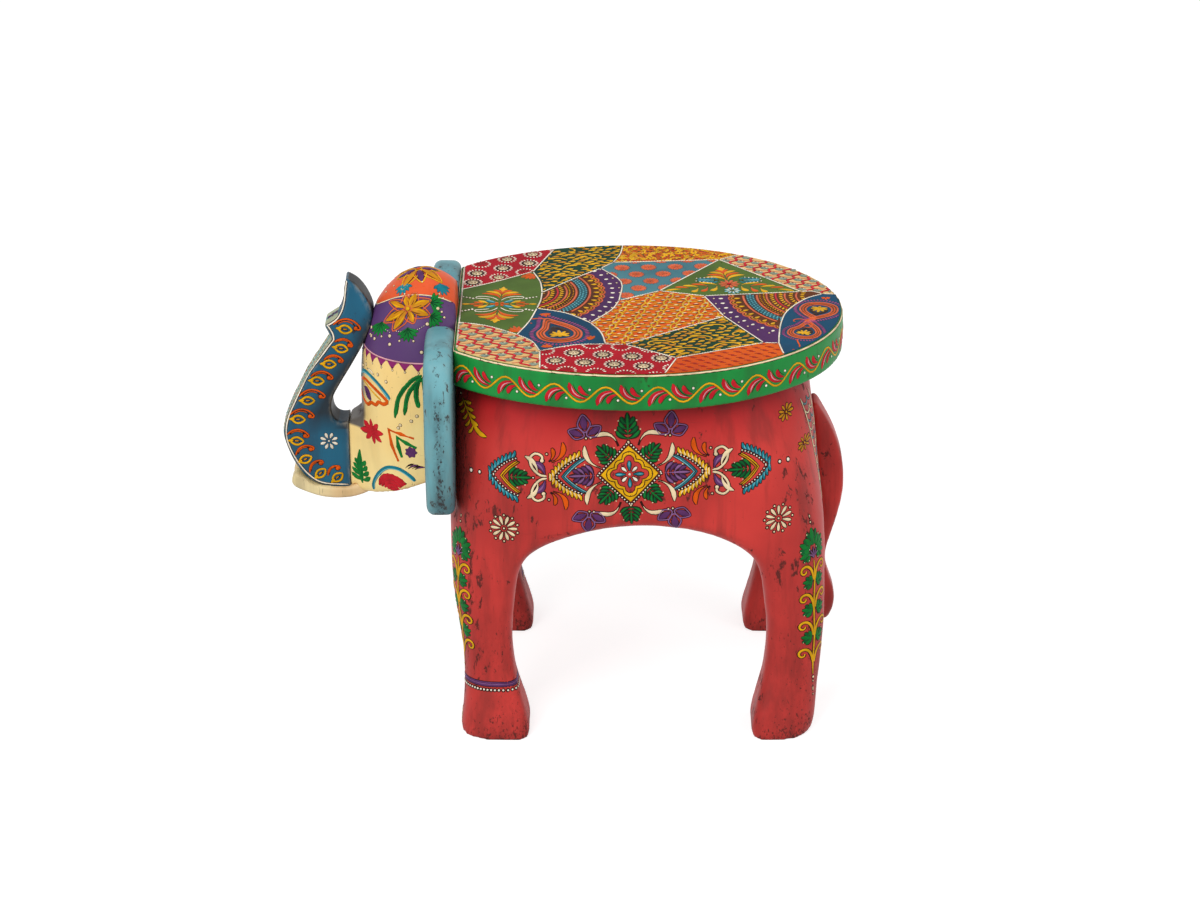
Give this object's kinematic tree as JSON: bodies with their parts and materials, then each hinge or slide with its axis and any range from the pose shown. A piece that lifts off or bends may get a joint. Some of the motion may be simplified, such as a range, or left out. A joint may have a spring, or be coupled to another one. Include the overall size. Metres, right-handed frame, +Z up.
{
  "type": "carved animal stool",
  "caption": "Low oval-seated wooden stool carved as a standing elephant with raised trunk, painted in raised folk patterns.",
  "frame": {"origin": "on the floor under the middle of the whole stool's length and width", "axes": "+X towards the tail, +Z up, so the elephant faces -X and its left side is at -Y"},
  "size_m": [0.4982, 0.3, 0.396],
  "materials": {
    "painted_seat": "hand-painted patchwork with raised cone-paint lines, satin varnish, rubbed edges",
    "painted_body": "red paint with rubbed brown glaze, satin varnish",
    "painted_head": "cream, purple and orange paint with raised lines, satin varnish",
    "painted_trunk": "blue paint with raised lines, satin varnish",
    "painted_ears": "pale blue paint, rubbed with brown glaze",
    "painted_tusks": "cream paint, rubbed",
    "bare_wood": "bare wood"
  },
  "bodies": {
    "root": {"ear_dowels_left": "bare_wood", "ear_dowels_right": "bare_wood", "ear_left": "painted_ears", "ear_right": "painted_ears", "head": "painted_head", "leg_dowels_front_left": "bare_wood", "leg_dowels_front_right": "bare_wood", "leg_dowels_rear_left": "bare_wood", "leg_dowels_rear_right": "bare_wood", "leg_front_left": "painted_body", "leg_front_right": "painted_body", "leg_rear_left": "painted_body", "leg_rear_right": "painted_body", "neck_dowels": "bare_wood", "seat_board_centre": "painted_seat", "seat_board_left": "painted_seat", "seat_board_right": "painted_seat", "seat_dowels": "bare_wood", "seat_edge_dowels": "bare_wood", "tail": "painted_body", "tail_dowel": "bare_wood", "torso_centre": "painted_body", "torso_dowels": "bare_wood", "torso_left": "painted_body", "torso_right": "painted_body", "trunk": "painted_trunk", "trunk_dowel": "bare_wood", "tusk_left": "painted_tusks", "tusk_right": "painted_tusks"}
  },
  "joints": []
}
